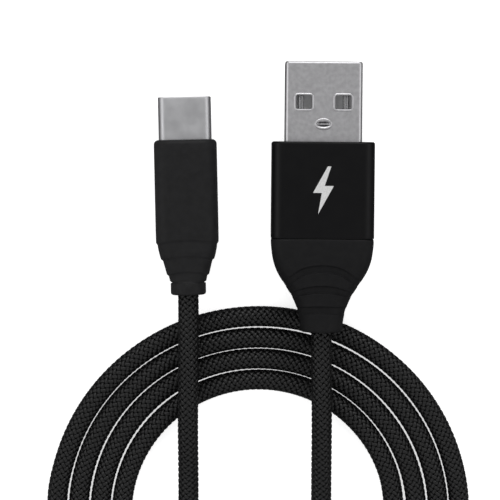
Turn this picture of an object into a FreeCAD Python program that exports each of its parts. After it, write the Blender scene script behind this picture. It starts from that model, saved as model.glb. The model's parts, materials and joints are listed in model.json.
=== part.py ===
import FreeCAD, Part
import math
import os

# A one metre braided charging cable with a type A plug and a type C plug. It lies coiled on a flat
# surface at z = 0, and the origin is on that surface, under the middle of the box round the two plugs.
# Each plug is built in its own frame, with +Y out of its mouth, +Z up through its flat face and the origin
# in the middle of its housing's front face. Its parts are then tipped and turned to where the plug lies.

V = FreeCAD.Vector
os.makedirs("parts", exist_ok=True)

# ---- cord ----
CORD_D = 3.2
CORD_R = CORD_D / 2
WIRE_R = 0.45  # an insulated conductor
WIRE_SPREAD = 0.58  # half the distance between conductors where the jacket ends
SIGNALS = ("vbus", "dminus", "dplus", "gnd")

# ---- coil: turns lie side by side, two half circles joined by straight sides ----
COIL_X = -0.86
COIL_Y = -51.2  # centre of the upper half circles
COIL_SIDE = 15.2  # length of the straight sides
COIL_OUTER_R = 33.6
COIL_INNER_R = 20.2
COIL_ROUND = 1.35

# ---- type A plug ----
A_X = 9.17
A_Y = 8.6
A_TURN = -0.5  # degrees, seen from above
A_PITCH = 5.4  # nose down, because the relief rests on the coil
A_SHELL = (12.0, 4.5, 0.65)  # width, thickness, corner radius
A_WALL = 0.3
A_SHELL_OUT = 12.4
A_SHELL_IN = 6.4
A_WINDOW = (2.5, 2.25)
A_WINDOW_X = 3.05
A_WINDOW_Y = 6.1
A_LOCK_SLOT = (2.3, 1.4)
A_LOCK_SLOT_Y = 2.75
A_WINDOW_R = 0.4
A_TONGUE_TIP = 11.9
A_TONGUE_BACK = 5.6
A_TONGUE_CHAMFER = 0.25
A_TONGUE_ROUND = 0.3
A_BLOCK_BACK = 8.5
A_CONTACT_X = (-3.5, -1.0, 1.0, 3.5)
A_CONTACT = (1.0, 0.25)  # width, thickness
A_CONTACT_TOP = 0.05
A_POWER_TIP = 10.7  # the power contacts reach further than the data contacts, so that they meet first
A_DATA_TIP = 9.7
A_TAIL_END = 10.6
A_HOUSING = (16.0, 8.0, 1.8)
A_HOUSING_L = 15.0
A_HOUSING_WALL = 0.8
A_HOUSING_FRONT = 1.0
A_MOULD_FRONT = 2.0
A_CHAMFER = 0.3
A_SPIGOT = 1.8  # how far the relief reaches into the housing
A_NECK_R = 3.0
A_CABLE_END = 17.5
A_CRIMP_L = 3.0
A_CRIMP_WALL = 0.5
# distance behind the housing, width, thickness, corner radius
A_RELIEF = (
    (0.0, 16.0, 8.0, 1.8),
    (1.5, 15.8, 7.95, 1.9),
    (3.5, 15.2, 7.8, 2.2),
    (5.2, 14.3, 7.5, 2.7),
    (6.7, 12.4, 7.2, 3.2),
    (8.2, 10.1, 6.95, 3.3),
    (9.2, 8.9, 6.8, 3.3),
    (10.2, 8.0, 6.65, 3.25),
    (11.2, 7.25, 6.55, 3.2),
    (12.6, 6.75, 6.45, 3.2),
    (14.6, 6.42, 6.4, 3.18),
)

# ---- type C plug ----
C_X = -12.29
C_Y = 8.83
C_TURN = 1.2
C_PITCH = 5.5  # nose down, because its cord climbs straight onto the coil
C_SHELL = (8.25, 2.4, 1.15)
C_WALL = 0.2
C_SHELL_OUT = 6.65
C_SHELL_IN = 4.4
C_INSULATOR = (7.75, 1.7, 0.8)
C_INSULATOR_TIP = 6.2
C_INSULATOR_BACK = 3.0
C_CAVITY = (6.75, 0.84)  # the slot that takes the tongue of a socket
C_CAVITY_BACK = 0.2
C_PITCH_X = 0.5  # contact pitch
C_UPPER = (1, 4, 5, 6, 7, 9, 12)  # contact places with a contact in a cable of this kind
C_LOWER = (1, 4, 9, 12)
C_BEAM = (0.25, 0.14)
C_BEAM_Z = 0.43
C_BEAM_TIP = 5.3
C_BEAM_SLOT = (0.32, 0.3, 0.75)  # width, and the heights between which a beam can bend
C_BUMP = (4.4, 4.9, 0.06)  # start, end and height of the bump on a beam
C_TAIL_END = 4.6
C_PLATE_THICK = 0.2
C_ARM_X = 3.51
C_ARM = (0.22, 0.6)
C_ARM_TIP = 5.6
C_ARM_ROOT = -0.2
C_ARM_POCKET = (3.2, 4.1, 0.35)  # inner side, outer side and half height
C_HOOK = (4.7, 5.0, 5.25, 5.5)  # start of the ramp, top of the hook and end of the ramp
C_HOOK_REACH = 0.24
C_HOOK_HALF = 0.2
C_SPRING = (5.8, 0.1, 0.87)  # width, thickness and height of its lower face
C_SPRING_ENDS = (1.6, 5.6)
C_FINGER_X = (-1.9, 0.0, 1.9)
C_FINGER = (0.6, 0.15)  # width of a finger, width of the slots beside it
C_FINGER_ROOT = 3.2
C_BOARD = (7.2, 0.7)
C_BOARD_FRONT = 3.15
C_BOARD_BACK = 9.0
C_RESISTOR = (1.0, 0.5, 0.35)
C_RESISTOR_SPOT = (-1.8, -6.35)
C_PAD = (1.3, -8.0, 0.86)  # where a conductor starts
C_MOULD = (8.6, 4.6, 1.2)
C_MOULD_FRONT = 2.0
C_MOULD_BACK = 14.6
C_NECK_R = 2.2
C_CABLE_END = 15.5
C_CRIMP_L = 2.5
C_CRIMP_WALL = 0.45
C_COLLAR_R = 2.75
C_COLLAR_FRONT = 22.3
C_COLLAR_BACK = 24.2
# distance behind the front face, width, thickness, corner radius
C_BODY = (
    (0.0, 9.2, 5.2, 1.9),
    (0.3, 9.7, 5.7, 2.1),
    (0.7, 9.8, 5.8, 2.2),
    (15.2, 9.8, 5.8, 2.2),
    (16.9, 9.3, 5.75, 2.4),
    (17.9, 8.2, 5.65, 2.6),
    (20.1, 6.7, 5.5, 2.6),
    (22.3, 5.35, 5.3, 2.6),
)

# ---- play between parts ----
GAP = 0.05
CLOSE = 0.02
END_ROOM = 0.3  # past the tip of a spring
WIRE_GAP = 0.2  # the bare end of a conductor, left to the solder


# ---- shapes ----
def section(width, thick, radius, y, x=0.0, z=0.0):
    """A rounded rectangle across the Y axis."""
    spots = []
    for i, (side, up) in enumerate(((1, 1), (-1, 1), (-1, -1), (1, -1))):
        centre_x = x + side * (width / 2 - radius)
        centre_z = z + up * (thick / 2 - radius)
        angles = [math.radians(90 * i + turn) for turn in (0, 45, 90)]
        spots.append([V(centre_x + radius * math.cos(a), y, centre_z + radius * math.sin(a)) for a in angles])
    edges = []
    for (start, middle, end), (following, _, _) in zip(spots, spots[1:] + spots[:1]):
        edges.append(Part.Arc(start, middle, end).toShape())
        edges.append(Part.LineSegment(end, following).toShape())
    return Part.Wire(edges)


def prism(profile, y0, y1, x=0.0, z=0.0):
    """A rounded bar along Y. profile is its width, thickness and corner radius."""
    width, thick, radius = profile
    return Part.Face(section(width, thick, radius, y0, x, z)).extrude(V(0, y1 - y0, 0))


def block(x0, x1, y0, y1, z0, z1):
    return Part.makeBox(x1 - x0, y1 - y0, z1 - z0, V(x0, y0, z0))


def grown(profile, gap):
    """The same rounded rectangle, larger by gap on every side."""
    width, thick, radius = profile
    return (width + 2 * gap, thick + 2 * gap, max(radius + gap, 0.05))


def tapered(stations):
    """A solid through rounded rectangles that follow each other backwards along Y."""
    wires = [section(width, thick, radius, -back) for back, width, thick, radius in stations]
    return Part.makeLoft(wires, True, True)


def ring(inner, outer, y0, y1):
    """A ring round the Y axis."""
    tube = Part.makeCylinder(outer, y1 - y0, V(0, y0, 0), V(0, 1, 0))
    return tube.cut(Part.makeCylinder(inner, y1 - y0, V(0, y0, 0), V(0, 1, 0)))


def rod(start, end, radius):
    return Part.makeCylinder(radius, (end - start).Length, start, end - start)


def placed(shape, x, y, z, turn, pitch):
    """Tips the nose down by pitch, turns the plug by turn and sets it at x, y, z."""
    tip = FreeCAD.Rotation(V(1, 0, 0), -pitch)
    swing = FreeCAD.Rotation(V(0, 0, 1), turn)
    moved = shape.copy()
    moved.Placement = FreeCAD.Placement(V(x, y, z), swing.multiply(tip))
    return moved


def spot(point, place):
    """Where a point of a plug's own frame lies."""
    x, y, z, turn, pitch = place
    tip = FreeCAD.Rotation(V(1, 0, 0), -pitch)
    swing = FreeCAD.Rotation(V(0, 0, 1), turn)
    return V(x, y, z) + swing.multiply(tip).multVec(point)


def resting_height(half_thick, chamfer, pitch):
    """The front's height that puts the lower front edge of a tipped housing on the surface."""
    lean = math.radians(pitch)
    return half_thick * math.cos(lean) - chamfer * math.sin(lean)


A_PLACE = (A_X, A_Y, resting_height(A_HOUSING[1] / 2, A_CHAMFER, A_PITCH), A_TURN, A_PITCH)
C_PLACE = (C_X, C_Y, resting_height(C_BODY[2][2] / 2, C_BODY[2][0], C_PITCH), C_TURN, C_PITCH)


# ---- type A plug ----
def a_windows():
    """The two square windows of each face and the locking slot of the upper face, as solids to cut."""
    width, length = A_WINDOW
    holes = []
    for side in (-1, 1):
        middle = side * A_WINDOW_X
        x0 = middle - width / 2
        y0 = A_WINDOW_Y - length / 2
        bar = block(x0, x0 + width, y0, y0 + length, -A_SHELL[1], A_SHELL[1])
        upright = [e for e in bar.Edges if abs(e.tangentAt(0).z) > 0.9]
        holes.append(bar.makeFillet(A_WINDOW_R, upright))
    width, length = A_LOCK_SLOT
    half = (width - length) / 2
    slot = block(-half, half, A_LOCK_SLOT_Y - length / 2, A_LOCK_SLOT_Y + length / 2, 0, A_SHELL[1])
    for side in (-1, 1):
        end = Part.makeCylinder(length / 2, A_SHELL[1], V(side * half, A_LOCK_SLOT_Y, 0))
        slot = slot.fuse(end)
    holes.append(slot.removeSplitter())
    return holes


def a_shell():
    """Folded steel tube, open at both ends."""
    inner = grown(A_SHELL, -A_WALL)
    tube = prism(A_SHELL, -A_SHELL_IN, A_SHELL_OUT)
    tube = tube.cut(prism(inner, -A_SHELL_IN - 1, A_SHELL_OUT + 1))
    for hole in a_windows():
        tube = tube.cut(hole)
    return tube


def a_contact(index, play=0.0):
    """One flat contact from near the tongue's tip to its solder tail. With play it is the pocket for it."""
    width, thick = A_CONTACT
    middle = A_CONTACT_X[index]
    tip = A_POWER_TIP if index in (0, len(SIGNALS) - 1) else A_DATA_TIP
    x0 = middle - width / 2 - play
    x1 = middle + width / 2 + play
    return block(x0, x1, -A_TAIL_END, tip + play, A_CONTACT_TOP - thick - play, A_CONTACT_TOP + play)


def a_tongue():
    """The plastic slab that carries the contacts, in the lower half of the shell."""
    half = A_SHELL[0] / 2 - A_WALL - GAP
    low = -A_SHELL[1] / 2 + A_WALL + GAP
    tongue = block(-half, half, -A_TONGUE_BACK, A_TONGUE_TIP, low, 0.0)
    tip_edge = [e for e in tongue.Edges if e.BoundBox.YMin > A_TONGUE_TIP / 2 and e.BoundBox.ZMin > low / 2]
    tongue = tongue.makeChamfer(A_TONGUE_CHAMFER, tip_edge)
    low_sides = [e for e in tongue.Edges if e.BoundBox.ZMax < low / 2 and e.BoundBox.YLength > A_TONGUE_TIP]
    tongue = tongue.makeFillet(A_TONGUE_ROUND, low_sides)
    for i in range(len(SIGNALS)):
        tongue = tongue.cut(a_contact(i, CLOSE))
    return tongue


def a_rear_block():
    """The plastic holder behind the tongue. It grips the contact tails."""
    holder = prism(grown(A_SHELL, -A_WALL - GAP), -A_BLOCK_BACK, -A_TONGUE_BACK - CLOSE)
    for i in range(len(SIGNALS)):
        holder = holder.cut(a_contact(i, CLOSE))
    return holder


def a_wire(index, radius=WIRE_R):
    """One insulated conductor, from its contact's tail to the end of the jacket."""
    side = 1 if A_CONTACT_X[index] > 0 else -1
    up = -1 if index in (0, 3) else 1
    start = V(A_CONTACT_X[index], -A_TAIL_END - WIRE_GAP, A_CONTACT_TOP - A_CONTACT[1] / 2)
    end = V(side * WIRE_SPREAD, -A_CABLE_END + WIRE_GAP, up * WIRE_SPREAD)
    return rod(start, end, radius)


def a_crimp():
    """Copper ring that clamps the cable's screen and jacket."""
    return ring(CORD_R, CORD_R + A_CRIMP_WALL, -A_CABLE_END - A_CRIMP_L, -A_CABLE_END)


def a_mould_outside():
    """The outer form of the inner moulding, with a neck into the relief."""
    inside = grown(A_HOUSING, -A_HOUSING_WALL - GAP)
    body = prism(inside, -A_HOUSING_L + A_SPIGOT, -A_MOULD_FRONT)
    neck = Part.makeCylinder(A_NECK_R, A_CABLE_END - A_HOUSING_L + A_SPIGOT, V(0, -A_CABLE_END, 0), V(0, 1, 0))
    return body.fuse(neck).removeSplitter()


def a_inner_mould():
    """Soft plastic moulded round the back of the shell and the solder joints."""
    mould = a_mould_outside()
    mould = mould.cut(prism(A_SHELL, -A_SHELL_IN, 0))
    mould = mould.cut(prism(grown(A_SHELL, -A_WALL - GAP), -A_BLOCK_BACK, -A_HOUSING_FRONT))
    for i in range(len(SIGNALS)):
        mould = mould.cut(a_contact(i))
        mould = mould.cut(a_wire(i, WIRE_R + CLOSE))
    return mould


def a_housing():
    """Anodised aluminium cup. The shell comes out of the hole in its front."""
    width, thick, radius = A_HOUSING
    small = (width - 2 * A_CHAMFER, thick - 2 * A_CHAMFER, radius - A_CHAMFER)
    cup = tapered(((0.0, *small), (A_CHAMFER, *A_HOUSING), (A_HOUSING_L, *A_HOUSING)))
    inside = grown(A_HOUSING, -A_HOUSING_WALL)
    cup = cup.cut(prism(inside, -A_HOUSING_L - 1, -A_HOUSING_FRONT))
    return cup.cut(prism(grown(A_SHELL, GAP), -A_HOUSING_FRONT - 1, 1))


def a_relief():
    """Rubber strain relief: it plugs the back of the housing and narrows to the cord."""
    stations = [(A_HOUSING_L + back, width, thick, radius) for back, width, thick, radius in A_RELIEF]
    end = stations[-1][0]
    inside = grown(A_HOUSING, -A_HOUSING_WALL - GAP)
    body = tapered(stations)
    body = body.fuse(prism(inside, -A_HOUSING_L, -A_HOUSING_L + A_SPIGOT))
    body = body.cut(Part.makeCylinder(A_NECK_R, A_CABLE_END, V(0, -A_CABLE_END, 0), V(0, 1, 0)))
    crimp_r = CORD_R + A_CRIMP_WALL
    body = body.cut(Part.makeCylinder(crimp_r, A_CRIMP_L + 1, V(0, -A_CABLE_END - A_CRIMP_L, 0), V(0, 1, 0)))
    return body.cut(Part.makeCylinder(CORD_R, end, V(0, -end - 1, 0), V(0, 1, 0)))


# ---- type C plug ----
def c_contact_x(place):
    """Contacts are numbered 1 to 12 from one side to the other."""
    return (place - 6.5) * C_PITCH_X


def c_shell():
    """Deep-drawn steel shell, with full round sides."""
    inner = grown(C_SHELL, -C_WALL)
    tube = prism(C_SHELL, -C_SHELL_IN, C_SHELL_OUT)
    return tube.cut(prism(inner, -C_SHELL_IN - 1, C_SHELL_OUT + 1))


def c_row(places, up, y0, y1):
    """A row of contact strips above the cavity (up 1) or below it (up -1), a solid for each."""
    width, thick = C_BEAM
    strips = []
    for place in places:
        x = c_contact_x(place)
        z = up * C_BEAM_Z
        strips.append(block(x - width / 2, x + width / 2, y0, y1, z - thick / 2, z + thick / 2))
    return strips


def c_beams(places, up):
    """The springy front of each contact, with the bump that touches the socket's tongue."""
    beams = []
    start, end, height = C_BUMP
    face = C_BEAM_Z - C_BEAM[1] / 2
    low, high = sorted((up * face, up * (face - height)))
    for place, strip in zip(places, c_row(places, up, C_CAVITY_BACK + CLOSE, C_BEAM_TIP)):
        x = c_contact_x(place)
        bump = block(x - C_BEAM[0] / 2, x + C_BEAM[0] / 2, start, end, low, high)
        beams.append(strip.fuse(bump).removeSplitter())
    return Part.makeCompound(beams)


def c_tails(places, up):
    """The fixed back of each contact, through the insulator to the board."""
    return Part.makeCompound(c_row(places, up, -C_TAIL_END, C_CAVITY_BACK))


def c_insulator():
    """Moulded block with the cavity, a slot for each contact and a pocket for each latch arm."""
    body = prism(C_INSULATOR, -C_INSULATOR_BACK, C_INSULATOR_TIP)
    width, height = C_CAVITY
    body = body.cut(block(-width / 2, width / 2, C_CAVITY_BACK, C_SHELL_OUT, -height / 2, height / 2))
    slot_width, slot_low, slot_high = C_BEAM_SLOT
    for places, up in ((C_UPPER, 1), (C_LOWER, -1)):
        body = body.cut(c_tails(places, up))
        low, high = sorted((up * slot_low, up * slot_high))
        for place in places:
            x = c_contact_x(place)
            x0 = x - slot_width / 2
            body = body.cut(block(x0, x0 + slot_width, C_CAVITY_BACK, C_BEAM_TIP + END_ROOM, low, high))
    near, far, half = C_ARM_POCKET
    for side in (-1, 1):
        low, high = sorted((side * near, side * far))
        body = body.cut(block(low, high, C_ARM_ROOT - GAP, C_ARM_TIP + END_ROOM, -half, half))
    return body.cut(c_latch_plate())


def c_latch_plate():
    """The flat steel plate in the middle of the insulator, from which both latch arms spring."""
    half = C_ARM_X + C_ARM[0] / 2
    rise = C_PLATE_THICK / 2
    return block(-half, half, -C_INSULATOR_BACK, C_ARM_ROOT - GAP, -rise, rise)


def c_latch(side):
    """One latch arm. The hook near its tip catches the notch in a socket's tongue."""
    width, height = C_ARM
    x0 = side * C_ARM_X - width / 2
    arm = block(x0, x0 + width, C_ARM_ROOT, C_ARM_TIP, -height / 2, height / 2)
    inside = side * (C_ARM_X - width / 2)
    hooked = inside - side * C_HOOK_REACH
    corners = [V(x, y, -C_HOOK_HALF) for x, y in zip((inside, hooked, hooked, inside), C_HOOK)]
    hook = Part.Face(Part.makePolygon(corners + corners[:1])).extrude(V(0, 0, 2 * C_HOOK_HALF))
    return arm.fuse(hook).removeSplitter()


def c_ground_spring(up):
    """Thin plate on the insulator with three fingers, which touches the shell of a socket's tongue."""
    width, thick, base = C_SPRING
    front, back = C_SPRING_ENDS[1], C_SPRING_ENDS[0]
    low, high = sorted((up * base, up * (base + thick)))
    plate = block(-width / 2, width / 2, back, front, low, high)
    finger, slot = C_FINGER
    for x in C_FINGER_X:
        for x0 in (x - finger / 2 - slot, x + finger / 2):
            plate = plate.cut(block(x0, x0 + slot, C_FINGER_ROOT, C_SHELL_OUT, low, high))
    return plate


def c_board():
    """The paddle board between the two rows of contact tails."""
    half = C_BOARD[0] / 2
    return block(-half, half, -C_BOARD_BACK, -C_BOARD_FRONT, -C_BOARD[1] / 2, C_BOARD[1] / 2)


def c_resistor():
    """The pull-up resistor that tells a phone what the type A end can supply."""
    length, width, height = C_RESISTOR
    x, y = C_RESISTOR_SPOT
    top = C_BOARD[1] / 2
    return block(x - length / 2, x + length / 2, y - width / 2, y + width / 2, top, top + height)


def c_wire(index, radius=WIRE_R):
    """One insulated conductor, from its pad on the board to the end of the jacket."""
    side = -1 if index < 2 else 1
    up = 1 if index in (0, 2) else -1
    x, y, z = C_PAD
    start = V(side * x, y, up * z)
    end = V(side * WIRE_SPREAD, -C_CABLE_END + WIRE_GAP, up * WIRE_SPREAD)
    return rod(start, end, radius)


def c_crimp():
    return ring(CORD_R, CORD_R + C_CRIMP_WALL, -C_CABLE_END - C_CRIMP_L, -C_CABLE_END)


def c_mould_outside():
    body = prism(C_MOULD, -C_MOULD_BACK, -C_MOULD_FRONT)
    neck = Part.makeCylinder(C_NECK_R, C_CABLE_END - C_MOULD_BACK + 1, V(0, -C_CABLE_END, 0), V(0, 1, 0))
    return body.fuse(neck).removeSplitter()


def c_inner_mould():
    """Soft plastic moulded round the board and the wires, up to the shell."""
    mould = c_mould_outside()
    mould = mould.cut(prism(C_SHELL, -C_SHELL_IN, 0))
    mould = mould.cut(c_board())
    mould = mould.cut(c_tails(C_UPPER, 1))
    mould = mould.cut(c_tails(C_LOWER, -1))
    mould = mould.cut(c_resistor())
    for i in range(len(SIGNALS)):
        mould = mould.cut(c_wire(i, WIRE_R + CLOSE))
    return mould


def c_overmould():
    """Soft-touch handle and strain relief in one moulding, with a collar round the cord."""
    body = tapered(C_BODY)
    collar_l = C_COLLAR_BACK - C_COLLAR_FRONT
    collar = Part.makeCylinder(C_COLLAR_R, collar_l, V(0, -C_COLLAR_BACK, 0), V(0, 1, 0))
    body = body.fuse(collar)
    body = body.cut(c_mould_outside())
    body = body.cut(prism(C_SHELL, -C_MOULD_FRONT - 1, 1))
    crimp_r = CORD_R + C_CRIMP_WALL
    body = body.cut(Part.makeCylinder(crimp_r, C_CRIMP_L, V(0, -C_CABLE_END - C_CRIMP_L, 0), V(0, 1, 0)))
    return body.cut(Part.makeCylinder(CORD_R, C_COLLAR_BACK, V(0, -C_COLLAR_BACK - 1, 0), V(0, 1, 0)))


# ---- cord ----
def on_coil(x, y, z):
    """A point given from the centre of the coil's upper half circles."""
    return V(COIL_X + x, COIL_Y + y, z)


OVER = CORD_D + CORD_R + 0.25  # centre height of a strand that lies across another
# from inside the type A plug, over the coil, down into it and over its lower turns to its outer left side
A_ROUTE = [
    spot(V(0, -A_CABLE_END, 0), A_PLACE),
    spot(V(0, -A_HOUSING_L - A_RELIEF[-1][0] - 1.0, 0), A_PLACE),
    on_coil(10.0, 16.7, OVER + 0.3),
    on_coil(10.0, 3.4, CORD_R),
    on_coil(10.1, -9.3, 2.7),
    on_coil(10.0, -22.0, OVER - 0.1),
    on_coil(2.0, -33.1, OVER + 0.1),
    on_coil(-11.0, -37.3, OVER + 0.15),
    on_coil(-24.0, -33.1, OVER + 0.1),
    on_coil(-31.9, -22.0, 4.3),
    on_coil(-32.1, -10.0, CORD_R),
    on_coil(-32.0, -0.8, CORD_R),
]
# from inside the type C plug, over the coil, down into it and round a half turn to the innermost turn
C_ROUTE = [
    spot(V(0, -C_CABLE_END, 0), C_PLACE),
    spot(V(0, -C_COLLAR_BACK - 1.0, 0), C_PLACE),
    on_coil(-11.0, 25.2, OVER + 0.5),
    on_coil(-11.1, 15.5, OVER + 0.3),
    on_coil(-11.1, 4.5, CORD_R),
    on_coil(-11.2, -7.4, CORD_R + 0.05),
    on_coil(-11.1, -20.6, CORD_R),
    on_coil(-4.9, -29.2, CORD_R),
    on_coil(5.3, -32.5, CORD_R),
    on_coil(15.5, -29.2, CORD_R),
    on_coil(21.7, -20.6, CORD_R),
    on_coil(21.8, -11.2, CORD_R),
]
RUN_SHARE = 0.45


def cord_tube(name, points):
    """A round tube along straight runs joined by tangent arcs, each as large as its two runs allow."""
    edges = []
    radii = []
    last = points[0]
    for before, corner, after in zip(points, points[1:], points[2:]):
        back = before - corner
        ahead = after - corner
        reach = RUN_SHARE * min(back.Length, ahead.Length)
        half_turn = (math.pi - back.getAngle(ahead)) / 2
        radius = reach / math.tan(half_turn)
        radii.append(radius)
        start = corner + V(back).normalize() * reach
        end = corner + V(ahead).normalize() * reach
        inward = (V(back).normalize() + V(ahead).normalize()).normalize()
        to_middle = radius / math.cos(half_turn) - radius
        edges.append(Part.LineSegment(last, start).toShape())
        edges.append(Part.Arc(start, corner + inward * to_middle, end).toShape())
        last = end
    edges.append(Part.LineSegment(last, points[-1]).toShape())
    path = Part.Wire(edges)
    rim = Part.Wire(Part.makeCircle(CORD_R, points[0], points[1] - points[0]))
    tube = path.makePipeShell([rim], True, True)
    even = tube.Volume / (math.pi * CORD_R**2 * path.Length)
    lowest = min(point.z for point in tube.tessellate(0.02)[0])
    print(f"{name}: length {path.Length:.1f}, volume over section x length {even:.4f}, lowest {lowest:.3f}")
    print(f"{name}: radii " + " ".join(f"{r:.1f}" for r in radii))
    return tube


def coil():
    """The outer form of the flat coil, one layer high."""
    middle = (COIL_OUTER_R + COIL_INNER_R) / 2
    across = (COIL_OUTER_R - COIL_INNER_R, CORD_D, COIL_ROUND)
    bars = []
    for side in (-1, 1):
        x = COIL_X + side * middle
        bars.append(prism(across, COIL_Y - COIL_SIDE, COIL_Y, x, CORD_R))
    right = Part.Face(section(*across, COIL_Y, COIL_X + middle, CORD_R))
    bars.append(right.revolve(on_coil(0, 0, 0), V(0, 0, 1), 180))
    low_right = Part.Face(section(*across, COIL_Y - COIL_SIDE, COIL_X + middle, CORD_R))
    bars.append(low_right.revolve(on_coil(0, -COIL_SIDE, 0), V(0, 0, 1), -180))
    return bars[0].multiFuse(bars[1:]).removeSplitter()


# ---- write every node ----
def build():
    a_parts = {
        "type_a_shell": a_shell(),
        "type_a_tongue": a_tongue(),
        "type_a_rear_block": a_rear_block(),
        "type_a_inner_mould": a_inner_mould(),
        "type_a_crimp": a_crimp(),
        "type_a_housing": a_housing(),
        "type_a_relief": a_relief(),
    }
    c_parts = {
        "type_c_shell": c_shell(),
        "type_c_insulator": c_insulator(),
        "type_c_contact_beams_upper": c_beams(C_UPPER, 1),
        "type_c_contact_beams_lower": c_beams(C_LOWER, -1),
        "type_c_contact_tails_upper": c_tails(C_UPPER, 1),
        "type_c_contact_tails_lower": c_tails(C_LOWER, -1),
        "type_c_latch_plate": c_latch_plate(),
        "type_c_latch_left": c_latch(-1),
        "type_c_latch_right": c_latch(1),
        "type_c_ground_spring_upper": c_ground_spring(1),
        "type_c_ground_spring_lower": c_ground_spring(-1),
        "type_c_board": c_board(),
        "type_c_resistor": c_resistor(),
        "type_c_inner_mould": c_inner_mould(),
        "type_c_crimp": c_crimp(),
        "type_c_overmould": c_overmould(),
    }
    for i, signal in enumerate(SIGNALS):
        a_parts["type_a_contact_" + signal] = a_contact(i)
        a_parts["type_a_wire_" + signal] = a_wire(i)
        c_parts["type_c_wire_" + signal] = c_wire(i)
    nodes = {name: placed(shape, *A_PLACE) for name, shape in a_parts.items()}
    nodes.update({name: placed(shape, *C_PLACE) for name, shape in c_parts.items()})
    plugs = Part.makeCompound(list(nodes.values())).BoundBox
    print(f"plugs: x {plugs.XMin:.3f} {plugs.XMax:.3f} y {plugs.YMin:.3f} {plugs.YMax:.3f} z {plugs.ZMin:.3f}")
    nodes["cord_type_a_end"] = cord_tube("cord_type_a_end", A_ROUTE)
    nodes["cord_type_c_end"] = cord_tube("cord_type_c_end", C_ROUTE)
    nodes["cord_coil"] = coil()
    return nodes


for node, shape in build().items():
    if not shape.isValid() or shape.Volume <= 0:
        print("not valid:", node, shape.ShapeType, shape.Volume)
    shape.exportStep(f"parts/{node}.step")
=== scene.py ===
import json
import math

import bmesh
import bpy
import numpy as np
from mathutils import Matrix, Vector


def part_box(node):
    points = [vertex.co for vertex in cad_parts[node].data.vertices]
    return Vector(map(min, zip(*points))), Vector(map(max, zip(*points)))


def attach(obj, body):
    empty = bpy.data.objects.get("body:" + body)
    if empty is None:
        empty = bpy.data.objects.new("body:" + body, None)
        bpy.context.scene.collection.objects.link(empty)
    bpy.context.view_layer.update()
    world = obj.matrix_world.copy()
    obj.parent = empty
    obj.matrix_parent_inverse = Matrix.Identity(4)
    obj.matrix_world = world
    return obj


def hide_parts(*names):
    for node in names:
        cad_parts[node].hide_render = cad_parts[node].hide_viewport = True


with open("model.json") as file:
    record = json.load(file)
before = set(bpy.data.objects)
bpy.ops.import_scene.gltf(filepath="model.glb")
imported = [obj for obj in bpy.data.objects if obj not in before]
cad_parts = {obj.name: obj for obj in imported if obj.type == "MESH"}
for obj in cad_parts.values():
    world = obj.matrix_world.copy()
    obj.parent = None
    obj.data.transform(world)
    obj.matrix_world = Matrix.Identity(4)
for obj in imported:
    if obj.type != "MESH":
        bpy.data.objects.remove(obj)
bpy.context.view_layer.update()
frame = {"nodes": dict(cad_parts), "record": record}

# ---------------------------------------------------------------------------------------------------------
# The two plugs' own frames, in millimetres: +Y out of the mouth, +Z up through the flat face, and the
# origin in the middle of the front face. The record's mounts say where both plugs lie and point.
MM = 0.001
A_REACH = 12.4
C_REACH = 6.65
mounts = {mount["name"]: mount for mount in frame["record"]["mounts"]}


def plug_frame(mouth, reach):
    """The frame of a plug whose mouth lies reach millimetres in front of its housing."""
    along = Vector(mounts[mouth]["axis"]).normalized()
    side = Vector((along.y, -along.x, 0)).normalized()
    turn = Matrix((side, along, side.cross(along))).transposed().to_4x4()
    origin = Vector(mounts[mouth]["pos_m"]) - along * reach * MM
    return Matrix.Translation(origin) @ turn @ Matrix.Scale(MM, 4)


plug_a = plug_frame("type_a_mouth", A_REACH)
plug_c = plug_frame("type_c_mouth", C_REACH)

# ---------------------------------------------------------------------------------------------------------
# The cord's route. It leaves the type A relief, crosses the coil's top, runs down inside the coil, crosses
# its lower turns and joins the outermost turn. Four turns lead inwards, and the innermost one runs back up
# and over the coil's top to the type C collar.
CORD_D = 3.2
CORD_R = CORD_D / 2
A_CABLE_END = 17.5
A_RELIEF_BACK = 29.6
C_CABLE_END = 15.5
C_COLLAR_BACK = 24.2
coil_low, coil_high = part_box("cord_coil")
COIL_OUTER_R = (coil_high[0] - coil_low[0]) / 2 / MM
coil_x = (coil_high[0] + coil_low[0]) / 2 / MM
coil_y = coil_high[1] / MM - COIL_OUTER_R
COIL_SIDE = (coil_high[1] - coil_low[1]) / MM - 2 * COIL_OUTER_R
OVER = CORD_D + CORD_R + 0.25  # height of a strand that lies across another
TURNS = 4
TURN_PITCH = 3.4
OUTER_TURN_R = 32.0
ARC_POINTS = 10  # control points of a half turn
TURN_SWAY = 0.05  # hand-laid turns don't lie quite evenly


def on_coil(x, y, z):
    """A point given in millimetres from the centre of the coil's upper half circles."""
    return Vector((coil_x + x, coil_y + y, z)) * MM


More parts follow.
